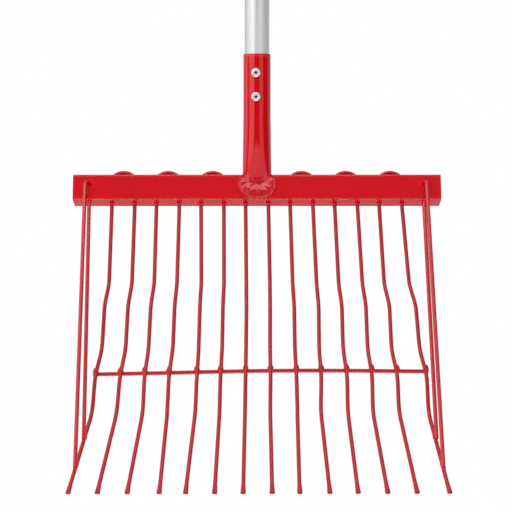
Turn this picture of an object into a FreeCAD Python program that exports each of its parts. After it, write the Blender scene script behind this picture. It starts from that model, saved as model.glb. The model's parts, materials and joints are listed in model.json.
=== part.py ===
"""Shavings fork: aluminium handle, red steel head of hairpin wire tines.

Frame: millimetres, +Z up along the handle, -Y the open front of the basket,
X across the head.  The origin is the centre of the socket's mouth, where the
handle enters the head.
"""
import FreeCAD
import Part
import Sketcher
import math
import os

V = FreeCAD.Vector

# Every driving size.  Angles are in degrees, counts are plain numbers,
# names ending in _share are parts of another size, the rest is millimetres.
SIZES = [
    # crossbar: square tube across the head, its front face tipped upward
    ("bar_length", 415.0),
    ("bar_width", 30.0),
    ("bar_height", 30.0),
    ("bar_wall", 2.0),
    ("bar_corner", 2.6),
    ("bar_corner_inside", 1.0),
    ("bar_drop", 155.0),
    ("bar_roll_deg", 18.0),
    ("end_plate", 1.5),
    # tines: seven hairpins of round wire, two legs each
    ("wire_diameter", 4.5),
    ("pair_count", 7),
    ("first_leg_inset", 42.1),
    ("leg_spacing", 26.0),
    ("bight_height", 8.3),
    ("bight_radius", 16.7),
    ("bight_corner", 9.0),
    ("top_hole", 7.2),
    ("bottom_hole", 5.1),
    ("splay_drop", 5.0),
    ("fan_distance", 945.0),
    ("bend_radius", 36.0),
    ("splay_radius", 60.0),
    ("run_1", 110.2),
    ("run_2", 27.8),
    ("run_3", 51.5),
    ("run_4", 40.1),
    ("run_5", 39.6),
    ("run_6", 114.0),
    ("lean_2_deg", 42.2),
    ("lean_3_deg", 18.1),
    ("lean_4_deg", 49.2),
    ("lean_5_deg", 15.2),
    ("lean_6_deg", 50.6),
    ("tip_length", 14.0),
    ("tip_width", 5.8),
    ("tip_thickness", 3.0),
    ("tip_round", 1.0),
    # rod behind the tines
    ("rod_diameter", 4.5),
    ("rod_lean_deg", 46.5),
    ("rod_overhang", 3.0),
    ("weld_gap", 0.1),
    # side wires: up from the first and last tine, over and down through the bar
    ("side_hook_inset", 13.0),
    ("side_hook_out", 5.2),
    ("side_hook_rise", 5.0),
    ("side_bend", 4.5),
    ("side_turn_rise", 3.6),
    ("side_leg_gap", 3.7),
    ("side_exit_in", 6.2),
    ("side_exit_hole", 6.4),
    ("side_hole_shift", 2.5),
    ("side_hole_rise", 3.6),
    ("side_hole", 8.0),
    ("side_long_run", 82.0),
    ("side_short_run", 42.0),
    # socket: tube welded over the bar, round at the mouth, oval at the foot
    ("socket_diameter", 31.0),
    ("socket_wall", 1.4),
    ("socket_round_length", 70.0),
    ("socket_foot_rise", 2.0),
    ("socket_foot_width", 33.7),
    ("socket_foot_depth", 28.0),
    # handle
    ("shaft_diameter", 28.0),
    ("shaft_wall", 1.6),
    ("shaft_length", 1200.0),
    ("shaft_insert", 68.0),
    ("grip_diameter", 34.0),
    ("grip_length", 125.0),
    ("grip_top", 4.0),
    ("grip_bore_gap", 0.05),
    ("grip_edge", 3.0),
    ("grip_lip", 1.0),
    # blind rivets through socket and handle
    ("rivet_first", 21.5),
    ("rivet_spacing", 27.0),
    ("rivet_offset", 1.3),
    ("rivet_head", 10.6),
    ("rivet_head_height", 1.9),
    ("rivet_shank", 4.8),
    ("rivet_tail", 6.6),
    ("rivet_tail_length", 4.0),
    ("rivet_tail_share", 0.7),
    ("rivet_bore", 2.9),
    ("rivet_bore_depth", 3.2),
    ("rivet_hole_gap", 0.1),
    # welds
    ("root_weld_radius", 3.2),
    ("side_root_radius", 3.8),
    ("root_weld_height", 2.8),
    ("root_weld_rim", 0.3),
    ("rod_weld_foot", 2.6),
    ("rod_weld_middle", 3.3),
    ("rod_weld_top", 1.0),
    ("rod_weld_length", 10.0),
    ("rod_weld_below", 2.4),
    ("side_weld_radius", 2.9),
    ("side_weld_end", 1.2),
    ("side_weld_length", 15.0),
    ("side_weld_past", 3.0),
    ("seam_width", 3.2),
    ("seam_height", 1.3),
    ("seam_lip", 0.4),
    ("lap_half_width", 22.0),
    ("lap_half_height", 18.0),
    ("lap_thickness", 4.6),
    ("lap_centre_rise", 2.4),
    ("overrun", 5.0),
]

doc = FreeCAD.newDocument("ShavingsFork")
sheet = doc.addObject("Spreadsheet::Sheet", "Sizes")
for row, (alias, value) in enumerate(SIZES, 1):
    sheet.set("A%d" % row, alias)
    sheet.set("B%d" % row, str(value))
    sheet.setAlias("B%d" % row, alias)
doc.recompute()


def size(alias):
    return float(sheet.get(alias))


def sized(text):
    """Turn a plain formula into one that reads the sheet."""
    for alias, _ in sorted(SIZES, key=lambda item: -len(item[0])):
        text = text.replace("<%s>" % alias, "Sizes.%s" % alias)
    return text


nodes = []


def keep(obj, label):
    obj.Label = label
    nodes.append(obj)
    return obj


# Frames.
roll = math.radians(size("bar_roll_deg"))
BAR_CENTRE = V(0, 0, -size("bar_drop"))
BAR_TURN = FreeCAD.Rotation(V(1, 0, 0), -size("bar_roll_deg"))
HEAD = FreeCAD.Placement(BAR_CENTRE, BAR_TURN)
BAR_UP = BAR_TURN.multVec(V(0, 0, 1))


def on_bar(x, y, z):
    """A point given in the bar's own frame: y to its back, z to its top."""
    return HEAD.multVec(V(x, y, z))


# Sketches.
def new_body(name):
    return doc.addObject("PartDesign::Body", name)


def new_sketch(body, name, role):
    plane = [f for f in body.Origin.OriginFeatures if f.Role == role][0]
    sketch = body.newObject("Sketcher::SketchObject", name)
    sketch.AttachmentSupport = (plane, [""])
    sketch.MapMode = "FlatFace"
    return sketch


def bind(sketch, index, name, formula):
    sketch.renameConstraint(index, name)
    sketch.setExpression("Constraints." + name, sized(formula))


def add_rectangle(sketch, name, width, height, width_formula, height_formula):
    """A rectangle centred on the sketch's origin."""
    a, b = width / 2, height / 2
    corners = [V(-a, -b, 0), V(a, -b, 0), V(a, b, 0), V(-a, b, 0)]
    first = sketch.GeometryCount
    for i in range(4):
        sketch.addGeometry(Part.LineSegment(corners[i], corners[(i + 1) % 4]), False)
    for i in range(4):
        joint = Sketcher.Constraint("Coincident", first + i, 2, first + (i + 1) % 4, 1)
        sketch.addConstraint(joint)
    for i in (0, 2):
        sketch.addConstraint(Sketcher.Constraint("Horizontal", first + i))
    for i in (1, 3):
        sketch.addConstraint(Sketcher.Constraint("Vertical", first + i))
    sketch.addConstraint(Sketcher.Constraint("Symmetric", first, 1, first + 1, 2, -1, 1))
    across = Sketcher.Constraint("DistanceX", first, 1, first, 2, width)
    bind(sketch, sketch.addConstraint(across), name + "_width", width_formula)
    upright = Sketcher.Constraint("DistanceY", first + 1, 1, first + 1, 2, height)
    bind(sketch, sketch.addConstraint(upright), name + "_height", height_formula)


def add_circle(sketch, name, diameter, formula, at=None):
    """A circle at the origin, or at (x, y) given as value and formula pairs."""
    x, y = (0.0, 0.0) if at is None else (at[0][0], at[1][0])
    circle = Part.Circle(V(x, y, 0), V(0, 0, 1), diameter / 2)
    index = sketch.addGeometry(circle, False)
    ring = Sketcher.Constraint("Diameter", index, diameter)
    bind(sketch, sketch.addConstraint(ring), name + "_diameter", formula)
    if at is None:
        sketch.addConstraint(Sketcher.Constraint("Coincident", index, 3, -1, 1))
        return
    for kind, (value, text) in zip(("DistanceX", "DistanceY"), at):
        tag = name + ("_across" if kind == "DistanceX" else "_up")
        if value == 0:
            axis = -2 if kind == "DistanceX" else -1
            sketch.addConstraint(Sketcher.Constraint("PointOnObject", index, 3, axis))
        elif value > 0:
            rule = Sketcher.Constraint(kind, -1, 1, index, 3, value)
            bind(sketch, sketch.addConstraint(rule), tag, text)
        else:
            rule = Sketcher.Constraint(kind, index, 3, -1, 1, -value)
            bind(sketch, sketch.addConstraint(rule), tag, "-(" + text + ")")


def pad(body, sketch, name, formula, both_ways=False):
    feature = body.newObject("PartDesign::Pad", name)
    feature.Profile = sketch
    feature.setExpression("Length", sized(formula))
    if both_ways:
        feature.SideType = "Symmetric"
    return feature


def pocket(body, sketch, name, formula, turn_round=False):
    """A pocket from the sketch; the volume must fall, or it points away."""
    doc.recompute()
    before = body.Shape.Volume
    feature = body.newObject("PartDesign::Pocket", name)
    feature.Profile = sketch
    feature.setExpression("Length", sized(formula))
    feature.Reversed = turn_round
    doc.recompute()
    if not body.Shape.Volume < before:
        raise RuntimeError(name + " cuts nothing")
    return feature


def pattern_along(body, feature, sketch, name, step_formula, count_formula):
    """Copies of a feature along the sketch's horizontal axis."""
    copies = body.newObject("PartDesign::LinearPattern", name)
    copies.Originals = [feature]
    copies.Direction = (sketch, ["H_Axis"])
    copies.setExpression("Length", sized(step_formula))
    copies.setExpression("Occurrences", sized(count_formula))
    body.Tip = copies
    doc.recompute()
    return copies


def long_edges(shape, direction, length):
    """Names of the straight edges of one length along one direction."""
    found = []
    for i, edge in enumerate(shape.Edges, 1):
        if not isinstance(edge.Curve, Part.Line):
            continue
        run = edge.Vertexes[-1].Point - edge.Vertexes[0].Point
        if abs(abs(run.dot(direction)) - length) < 0.001 * length:
            found.append("Edge%d" % i)
    return found


# Crossbar.
crossbar = new_body("crossbar")
section = new_sketch(crossbar, "bar_section", "YZ_Plane")
add_rectangle(section, "outside", size("bar_width"), size("bar_height"), "<bar_width>", "<bar_height>")
inside_width = size("bar_width") - 2 * size("bar_wall")
inside_height = size("bar_height") - 2 * size("bar_wall")
add_rectangle(section, "inside", inside_width, inside_height,
              "<bar_width> - 2 * <bar_wall>", "<bar_height> - 2 * <bar_wall>")
bar_tube = pad(crossbar, section, "bar_tube", "<bar_length>", True)
doc.recompute()

rows = long_edges(bar_tube.Shape, V(1, 0, 0), size("bar_length"))
outer_rows, inner_rows = [], []
for edge_name in rows:
    middle = bar_tube.Shape.getElement(edge_name).CenterOfMass
    far_out = abs(middle.y) > (inside_width + size("bar_wall")) / 2
    (outer_rows if far_out else inner_rows).append(edge_name)
outer_round = crossbar.newObject("PartDesign::Fillet", "bar_corners")
outer_round.Base = (bar_tube, outer_rows)
outer_round.setExpression("Radius", sized("<bar_corner>"))
doc.recompute()
inner_rows = []
for edge_name in long_edges(outer_round.Shape, V(1, 0, 0), size("bar_length")):
    middle = outer_round.Shape.getElement(edge_name).CenterOfMass
    if abs(middle.y) < size("bar_width") / 2 - size("bar_wall") / 2:
        if abs(middle.z) < size("bar_height") / 2 - size("bar_wall") / 2:
            inner_rows.append(edge_name)
inner_round = crossbar.newObject("PartDesign::Fillet", "bar_inner_corners")
inner_round.Base = (outer_round, inner_rows)
inner_round.setExpression("Radius", sized("<bar_corner_inside>"))
doc.recompute()

# Rows of holes: one pair of holes for each hairpin, larger at the top, where
# the bight's corner curves through the wall.
pairs = int(size("pair_count"))
pair_pitch = (size("bar_length") - 2 * size("first_leg_inset") - size("leg_spacing")) / (pairs - 1)
pitch_formula = "(<bar_length> - 2 * <first_leg_inset> - <leg_spacing>) / (<pair_count> - 1)"
half_spacing = size("leg_spacing") / 2
first_pair_x = -size("bar_length") / 2 + size("first_leg_inset") + half_spacing
first_pair = "-<bar_length> / 2 + <first_leg_inset> + <leg_spacing> / 2"
wire_radius = size("wire_diameter") / 2

# The bight: a wide arc over the bar between two tighter corners, heights
# measured from the bar's centre.
crown_height = size("bar_height") / 2 + size("bight_height") - wire_radius
crown_centre = crown_height - size("bight_radius")
corner_x = half_spacing - size("bight_corner")
corner_centre = crown_centre + math.sqrt((size("bight_radius") - size("bight_corner")) ** 2 - corner_x ** 2)
above_corner = size("bar_height") / 2 - corner_centre
top_reach = corner_x + math.sqrt(size("bight_corner") ** 2 - above_corner ** 2)
crown_text = "(<bar_height> / 2 + <bight_height> - <wire_diameter> / 2 - <bight_radius>)"
corner_text = "(<leg_spacing> / 2 - <bight_corner>)"
centre_text = crown_text + " + sqrt(pow(<bight_radius> - <bight_corner>; 2) - pow(" + corner_text + "; 2))"
above_text = "(<bar_height> / 2 - (" + centre_text + "))"
top_reach_formula = corner_text + " + sqrt(pow(<bight_corner>; 2) - pow(" + above_text + "; 2))"
depth_formula = "<bar_height> / 2 + <overrun>"
row_length = "<bar_length> - 2 * <first_leg_inset> - <leg_spacing>"

top_holes = new_sketch(crossbar, "top_holes", "XY_Plane")
bottom_holes = new_sketch(crossbar, "bottom_holes", "XY_Plane")
for sign, tag in ((-1, "left"), (1, "right")):
    mark = "-" if sign < 0 else "+"
    add_circle(top_holes, tag, size("top_hole"), "<top_hole>",
               ((first_pair_x + sign * top_reach, first_pair + mark + "(" + top_reach_formula + ")"),
                (0, "0")))
    add_circle(bottom_holes, tag, size("bottom_hole"), "<bottom_hole>",
               ((first_pair_x + sign * half_spacing, first_pair + mark + "<leg_spacing> / 2"), (0, "0")))
top_pocket = pocket(crossbar, top_holes, "top_pocket", depth_formula, True)
pattern_along(crossbar, top_pocket, top_holes, "top_hole_row", row_length, "<pair_count>")
bottom_pocket = pocket(crossbar, bottom_holes, "bottom_pocket", depth_formula, False)
pattern_along(crossbar, bottom_pocket, bottom_holes, "bottom_hole_row", row_length, "<pair_count>")

# Holes for the side wires: in through the front face, out through the bottom.
hook_x = size("bar_length") / 2 - size("side_hook_inset")
hook_formula = "(<bar_length> / 2 - <side_hook_inset>"
exit_x = hook_x - size("side_leg_gap")
exit_y = -size("bar_width") / 2 + size("side_exit_in")
front_holes = new_sketch(crossbar, "side_wire_entries", "XZ_Plane")
exit_holes = new_sketch(crossbar, "side_wire_exits", "XY_Plane")
for sign, tag in ((-1, "left"), (1, "right")):
    mark = "-" if sign < 0 else ""
    entry_x = sign * (hook_x - size("side_hole_shift"))
    add_circle(front_holes, tag, size("side_hole"), "<side_hole>",
               ((entry_x, mark + hook_formula + " - <side_hole_shift>)"),
                (size("side_hole_rise"), "<side_hole_rise>")))
    add_circle(exit_holes, tag, size("side_exit_hole"), "<side_exit_hole>",
               ((sign * exit_x, mark + hook_formula + " - <side_leg_gap>)"),
                (exit_y, "-<bar_width> / 2 + <side_exit_in>")))
pocket(crossbar, front_holes, "side_entry_pocket", "<bar_width> / 2 + <overrun>", True)
pocket(crossbar, exit_holes, "side_exit_pocket", depth_formula, False)
crossbar.Placement = HEAD
keep(crossbar, "crossbar")

# End plates.
for sign, name in ((-1, "left_end_plate"), (1, "right_end_plate")):
    plate = new_body(name)
    outline = new_sketch(plate, name + "_outline", "YZ_Plane")
    add_rectangle(outline, "plate", size("bar_width"), size("bar_height"), "<bar_width>", "<bar_height>")
    sheet_pad = pad(plate, outline, name + "_pad", "<end_plate>", True)
    doc.recompute()
    rounded = plate.newObject("PartDesign::Fillet", name + "_corners")
    rounded.Base = (sheet_pad, long_edges(sheet_pad.Shape, V(1, 0, 0), size("end_plate")))
    rounded.setExpression("Radius", sized("<bar_corner>"))
    doc.recompute()
    shift = sign * (size("bar_length") + size("end_plate")) / 2
    plate.Placement = FreeCAD.Placement(on_bar(shift, 0, 0), BAR_TURN)
    keep(plate, name)


# Wire work.
def wire_path(points, radii):
    """Straight runs through the points, each corner rounded by its radius."""
    edges = []
    last = points[0]
    for i in range(1, len(points) - 1):
        corner = points[i]
        back = (points[i - 1] - corner).normalize()
        ahead = (points[i + 1] - corner).normalize()
        half = back.getAngle(ahead) / 2
        reach = radii[i - 1] / math.tan(half)
        inward = (back + ahead).normalize()
        middle = corner + inward * (radii[i - 1] / math.sin(half) - radii[i - 1])
        begin, end = corner + back * reach, corner + ahead * reach
        edges.append(Part.LineSegment(last, begin).toShape())
        edges.append(Part.Arc(begin, middle, end).toShape())
        last = end
    edges.append(Part.LineSegment(last, points[-1]).toShape())
    return edges


def round_wire(edges, radius):
    """A round rod along a path of joined edges."""
    path = Part.Wire(edges)
    start = edges[0].valueAt(edges[0].FirstParameter)
    ahead = edges[0].tangentAt(edges[0].FirstParameter)
    ring = Part.Wire([Part.Circle(start, ahead, radius).toShape()])
    return path.makePipeShell([ring], True, True)


leans = [size("bar_roll_deg")] + [size("lean_%d_deg" % i) for i in range(2, 7)]
runs = [size("run_%d" % i) for i in range(1, 7)]
profile = []
forward, drop = 0.0, 0.0
for lean, run in zip(leans, runs):
    forward += run * math.sin(math.radians(lean))
    drop += run * math.cos(math.radians(lean))
    profile.append((forward, drop))

splay_depth = size("bar_height") / 2 + size("splay_drop")
splay_forward = splay_depth * math.sin(roll)


def tine_point(x, ahead, down):
    """A point of the tine that leaves the bar at x: the tines fan out."""
    spread = 1 + (ahead - splay_forward) / size("fan_distance")
    return BAR_CENTRE + V(x * spread, -ahead, -down)


def leg_points(x):
    """Corner points of one leg, from its bight down to the tip."""
    points = [on_bar(x, 0, corner_centre), on_bar(x, 0, -splay_depth)]
    return points + [tine_point(x, ahead, down) for ahead, down in profile]


def tine_tip(x):
    """The flattened, slightly wider end of a tine."""
    above, tip = leg_points(x)[-2:]
    along = (tip - above).normalize()
    across = V(1, 0, 0) - along * along.x
    turn = FreeCAD.Rotation(across.normalize(), V(0, 0, 0), along, "ZXY")
    width, thick = size("tip_width") / 2, size("tip_thickness") / 2
    trim = size("tip_round")
    stations = [
        (tip - along * size("tip_length"), wire_radius, wire_radius),
        (tip - along * trim, width, thick),
        (tip, width - trim, thick - trim),
    ]
    rings = []
    for place, wide, deep in stations:
        if wide == deep:
            ring = Part.Circle(V(0, 0, 0), V(0, 0, 1), wide).toShape()
        else:
            ring = Part.Ellipse(V(0, 0, 0), wide, deep).toShape()
        ring.Placement = FreeCAD.Placement(place, turn)
        rings.append(Part.Wire([ring]))
    return Part.makeLoft(rings, True, True)


def bight(middle_x):
    """The bend over the bar: corner, crown, corner, from the left leg to the right."""
    share = size("bight_corner") / (size("bight_radius") - size("bight_corner"))
    join_x = corner_x * (1 + share)
    join_z = corner_centre + (corner_centre - crown_centre) * share
    half_turn = math.atan2(join_z - corner_centre, join_x - corner_x) / 2
    mid_x = corner_x + size("bight_corner") * math.cos(half_turn)
    mid_z = corner_centre + size("bight_corner") * math.sin(half_turn)
    left, right = (
        [on_bar(middle_x + side * across, 0, up) for across, up in
         ((half_spacing, corner_centre), (mid_x, mid_z), (join_x, join_z))]
        for side in (-1, 1)
    )
    crown = on_bar(middle_x, 0, crown_height)
    return [Part.Arc(*left).toShape(), Part.Arc(left[2], crown, right[2]).toShape(),
            Part.Arc(*reversed(right)).toShape()]


def hairpin(middle_x):
    """One bent wire: tip, leg, bight over the bar, leg, tip."""
    legs = []
    for x in (middle_x - half_spacing, middle_x + half_spacing):
        points = leg_points(x)
        along = (points[-1] - points[-2]).normalize()
        points[-1] = points[-1] - along * size("tip_length")
        radii = [size("splay_radius")] + [size("bend_radius")] * (len(points) - 3)
        legs.append(wire_path(points, radii))
        if len(legs) == 1:
            start, start_along = points[-1], along
    down_left = [edge.reversed() for edge in reversed(legs[0])]
    path = Part.Wire(down_left + bight(middle_x) + legs[1])
    ring = Part.Wire([Part.Circle(start, -start_along, wire_radius).toShape()])
    body = path.makePipeShell([ring], True, True)
    for x in (middle_x - half_spacing, middle_x + half_spacing):
        body = body.fuse(tine_tip(x))
    return body.Solids[0] if len(body.Solids) == 1 else body


tine_pairs = []
for number in range(pairs):
    middle_x = first_pair_x + number * pair_pitch
    pair = doc.addObject("Part::Feature", "tine_pair_%d" % (number + 1))
    pair.Shape = hairpin(middle_x)
    tine_pairs.append(keep(pair, "tine_pair_%d" % (number + 1)))
leg_places = []
for number in range(pairs):
    middle_x = first_pair_x + number * pair_pitch
    leg_places += [(middle_x - half_spacing, number), (middle_x + half_spacing, number)]

# Cross rod.
# The rod lies behind the tines, on the inside of the bend between their fourth
# and fifth runs, where the tines have the rod's lean: every tine rests on it.
crook_forward, crook_drop = profile[3]
turn_half = math.radians(leans[3] - leans[4]) / 2
mean_lean = math.radians(leans[3] + leans[4]) / 2


def backward(lean):
    """The direction square to a run of that lean, towards the back."""
    return V(0, math.cos(lean), -math.sin(lean))


rod_lean = math.radians(size("rod_lean_deg"))
behind = backward(rod_lean)
bend_centre = (BAR_CENTRE + V(0, -crook_forward, -crook_drop)
               + backward(mean_lean) * (size("bend_radius") / math.cos(turn_half)))
rod_radius = size("rod_diameter") / 2
crook = bend_centre - behind * size("bend_radius")
rod_axis = crook + behind * (wire_radius + size("weld_gap") + rod_radius)
end_x = abs(tine_point(leg_places[0][0], crook_forward, crook_drop).x) + size("rod_overhang")
rod = doc.addObject("Part::Cylinder", "cross_rod")
rod.setExpression("Radius", sized("<rod_diameter> / 2"))
rod.Height = 2 * end_x
rod.Placement = FreeCAD.Placement(V(-end_x, rod_axis.y, rod_axis.z), FreeCAD.Rotation(V(0, 1, 0), 90))
doc.recompute()
keep(rod, "cross_rod")


# Side wires.
def run_six(x, distance):
    """A point on a tine's last run, and that run's direction."""
    start, tip = leg_points(x)[-2:]
    along = (tip - start).normalize()
    return start + along * distance, along


def wire_end(side, distance, start):
    """Where a side wire coming from start ends, on top of the outer tine, and its weld's axis."""
    outer_x = side * (abs(first_pair_x) + half_spacing)
    place, along = run_six(outer_x, distance)
    incoming = (place - start).normalize()
    out = V(1, 0, 0).cross(along).normalize()
    if out.z < 0:
        out = -out
    cos_in = math.sqrt(1 - incoming.dot(out) ** 2)
    reach = wire_radius + size("weld_gap") + wire_radius * cos_in
    seam = place + out * (wire_radius + size("weld_gap") / 2)
    return place + out * reach, (seam, along)


def side_wire(side):
    """Hook over the front of the bar: long leg, entry, turn, short leg."""
    hook = on_bar(side * hook_x, -size("bar_width") / 2 - size("side_hook_out"), size("side_hook_rise"))
    crossing = on_bar(side * exit_x, exit_y, -size("bar_height") / 2)
    long_end, long_weld = wire_end(side, size("side_long_run"), hook)
    short_end, short_weld = wire_end(side, size("side_short_run"), crossing)
    downward = (short_end - crossing).normalize()
    climb = (size("bar_height") / 2 + size("side_turn_rise")) / abs(downward.dot(BAR_UP))
    turn = crossing - downward * climb
    radii = [size("side_bend")] * 2
    solid = round_wire(wire_path([long_end, hook, turn, short_end], radii), wire_radius)
    return solid, [long_weld, short_weld], crossing, downward


side_wires = {}
for side, name in ((-1, "left_side_wire"), (1, "right_side_wire")):
    solid, weld_points, crossing, direction = side_wire(side)
    wire = doc.addObject("Part::Feature", name)
    wire.Shape = solid
    side_wires[side] = (wire, weld_points, crossing, direction)
    keep(wire, name)

# Socket.
bar_block = Part.makeBox(size("bar_length"), size("bar_width") + 2 * size("weld_gap"),
                         size("bar_height") + 2 * size("weld_gap"),
                         V(-size("bar_length") / 2, -size("bar_width") / 2 - size("weld_gap"),
                           -size("bar_height") / 2 - size("weld_gap")))
bar_block.Placement = HEAD


def oval(width, depth, height):
    ring = Part.Ellipse(V(0, 0, 0), width / 2, depth / 2).toShape()
    ring.translate(V(0, 0, height))
    return Part.Wire([ring])


def circle_ring(diameter, height):
    ring = Part.Circle(V(0, 0, height), V(0, 0, 1), diameter / 2).toShape()
    return Part.Wire([ring])


def socket_core(growth, mouth_extra):
    """The socket's outline as a solid, grown or shrunk all round by growth."""
    width = size("socket_foot_width") + 2 * growth
    depth = size("socket_foot_depth") + 2 * growth
    diameter = size("socket_diameter") + 2 * growth
    foot = -size("bar_drop") + size("socket_foot_rise")
    lower = Part.makeLoft([oval(width, depth, foot), circle_ring(diameter, -size("socket_round_length"))],
                          True, True)
    upper = Part.makeCylinder(diameter / 2, size("socket_round_length") + mouth_extra,
                              V(0, 0, -size("socket_round_length")))
    return lower.fuse(upper)


socket_outside = socket_core(0, 0)
socket_inside = socket_core(-size("socket_wall"), size("overrun"))
rivet_heights = [-size("rivet_first") - i * size("rivet_spacing") for i in range(2)]
rivet_hole_radius = size("rivet_shank") / 2 + size("rivet_hole_gap")


def rivet_drill(height):
    """The hole for a rivet, from the front to the middle of the tube."""
    place = V(-size("rivet_offset"), 0, height)
    return Part.makeCylinder(rivet_hole_radius, size("socket_diameter"), place, V(0, -1, 0))


drills = [rivet_drill(height) for height in rivet_heights]
socket = doc.addObject("Part::Feature", "socket_tube")
socket.Shape = socket_outside.cut([socket_inside, bar_block] + drills)
keep(socket, "socket_tube")

# Handle tube.
shaft = new_body("shaft_tube")
shaft_ring = new_sketch(shaft, "shaft_ring", "XY_Plane")
add_circle(shaft_ring, "outside", size("shaft_diameter"), "<shaft_diameter>")
add_circle(shaft_ring, "inside", size("shaft_diameter") - 2 * size("shaft_wall"),
           "<shaft_diameter> - 2 * <shaft_wall>")
pad(shaft, shaft_ring, "shaft_pad", "<shaft_length>")
shaft_holes = new_sketch(shaft, "shaft_rivet_holes", "XZ_Plane")
for i, height in enumerate(rivet_heights):
    rise = size("shaft_insert") + height
    formula = "<shaft_insert> - <rivet_first>" + (" - <rivet_spacing>" if i else "")
    add_circle(shaft_holes, "hole_%d" % (i + 1), 2 * rivet_hole_radius,
               "<rivet_shank> + 2 * <rivet_hole_gap>",
               ((-size("rivet_offset"), "-<rivet_offset>"), (rise, formula)))
pocket(shaft, shaft_holes, "shaft_rivet_pocket", "<shaft_diameter> / 2 + <overrun>", True)
shaft.Placement = FreeCAD.Placement(V(0, 0, -size("shaft_insert")), FreeCAD.Rotation())
keep(shaft, "shaft_tube")


# Turned pieces.
def turned(name, sketch_name, points):
    """A body turned about the vertical axis from a closed outline of (r, z)."""
    body = new_body(name)
    sketch = new_sketch(body, sketch_name, "XZ_Plane")
    count = len(points)
    for i in range(count):
        a, b = points[i], points[(i + 1) % count]
        sketch.addGeometry(Part.LineSegment(V(a[0], a[1], 0), V(b[0], b[1], 0)), False)
    for i in range(count):
        sketch.addConstraint(Sketcher.Constraint("Coincident", i, 2, (i + 1) % count, 1))
    for i in range(count):
        sketch.addConstraint(Sketcher.Constraint("Block", i))
    spin = body.newObject("PartDesign::Revolution", name + "_turning")
    spin.Profile = sketch
    spin.ReferenceAxis = (sketch, ["V_Axis"])
    spin.Angle = 360
    doc.recompute()
    return body


shaft_top = size("shaft_length") - size("shaft_insert")
bore = size("shaft_diameter") / 2 + size("grip_bore_gap")
half_grip = size("grip_diameter") / 2
base = shaft_top - size("grip_length") + size("grip_top")
crown_z = shaft_top + size("weld_gap")
top = crown_z + size("grip_top")
grip = turned("hand_grip", "grip_outline", [
    (0, crown_z),
    (bore, crown_z),
    (bore, base),
    (half_grip - size("grip_lip"), base),
    (half_grip, base + size("grip_lip")),
    (half_grip, top - size("grip_edge")),
    (half_grip - size("grip_edge"), top),
    (0, top),
])
keep(grip, "hand_grip")


def rivet_solid():
    """A blind rivet about +Z: domed head with its centre hole, shank, set tail."""
    head, high = size("rivet_head") / 2, size("rivet_head_height")
    shank = size("rivet_shank") / 2
    through = size("socket_wall") + (size("socket_diameter") - size("shaft_diameter")) / 2
    grip_depth = through - size("socket_wall") + size("shaft_wall") + size("weld_gap") * 2
    tail, tail_long = size("rivet_tail") / 2, size("rivet_tail_length")
    sphere_radius = (head ** 2 + high ** 2) / (2 * high)
    flat = size("rivet_bore") / 2
    crown = math.sqrt(sphere_radius ** 2 - flat ** 2) - (sphere_radius - high)
    mid_r = head * math.sqrt(0.5)
    mid_z = math.sqrt(sphere_radius ** 2 - mid_r ** 2) - (sphere_radius - high)
    under = size("socket_wall") + grip_depth
    pit = size("rivet_bore_depth")
    rim = Part.Arc(V(head, 0, 0), V(mid_r, 0, mid_z), V(flat, 0, crown)).toShape()
    corners = [V(flat, 0, crown), V(flat, 0, crown - pit), V(0, 0, crown - pit), V(0, 0, -under - tail_long),
               V(tail * size("rivet_tail_share"), 0, -under - tail_long), V(tail, 0, -under - tail_long / 2),
               V(tail, 0, -under), V(shank, 0, -under), V(shank, 0, 0), V(head, 0, 0)]
    lines = [Part.LineSegment(a, b).toShape() for a, b in zip(corners, corners[1:])]
    outline = Part.Wire([rim] + lines)
    return Part.Face(outline).revolve(V(0, 0, 0), V(0, 0, 1), 360)


outer_radius = size("socket_diameter") / 2
for height, name in zip(rivet_heights, ("upper_rivet", "lower_rivet")):
    rivet = doc.addObject("Part::Feature", name)
    rivet.Shape = rivet_solid()
    seat = V(-size("rivet_offset"), -outer_radius - size("weld_gap"), height)
    rivet.Placement = FreeCAD.Placement(seat, FreeCAD.Rotation(V(0, 0, 1), V(0, -1, 0)))
    keep(rivet, name)

# Socket weld.
# A heavy bead: a lobe over the bar's front face below the socket's tongue, and
# a fillet round the socket's foot on the bar's top face.
lobe = Part.makeSphere(1)
stretch = FreeCAD.Matrix()
stretch.scale(size("lap_half_width"), size("lap_thickness"), size("lap_half_height"))
lobe = lobe.transformGeometry(stretch)
lobe.translate(V(0, -size("bar_width") / 2, size("lap_centre_rise")))
lobe.Placement = HEAD.multiply(lobe.Placement)
slope = math.tan(roll)
face_z = size("bar_height") / 2
collar_rings = []
for grow, up in ((size("seam_width"), 0.0), (size("seam_lip"), size("seam_height"))):
    ring = Part.Ellipse(V(0, 0, 0), size("socket_foot_width") / 2 + grow,
                        size("socket_foot_depth") / 2 / math.cos(roll) + grow).toShape()
    ring.translate(V(0, -(face_z + up) * slope, face_z + up))
    collar_rings.append(Part.Wire([ring]))
collar = Part.makeLoft(collar_rings, True, True)
collar.Placement = HEAD
behind_face = Part.makeBox(size("bar_length"), size("bar_length"), size("bar_length"),
                           V(-size("bar_length") / 2, -size("bar_width") / 2 - size("lap_thickness") / 2, 0))
behind_face.Placement = HEAD
collar = collar.common(behind_face)
whole_bead = lobe.fuse(collar)
weld = doc.addObject("Part::Feature", "socket_weld")
cut_tool = socket_core(size("weld_gap"), 0)
bead_pieces = whole_bead.cut([bar_block, cut_tool])
weld.Shape = bead_pieces
print("socket weld pieces", [round(piece.Volume, 1) for piece in bead_pieces.Solids])
keep(weld, "socket_weld")

# Small welds.
wire_gap = size("weld_gap") / 2


def root_cone(foot_radius):
    rim = wire_radius + size("root_weld_rim")
    return Part.makeCone(foot_radius, rim, size("root_weld_height"), V(0, 0, 0), V(0, 0, -1))


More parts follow.
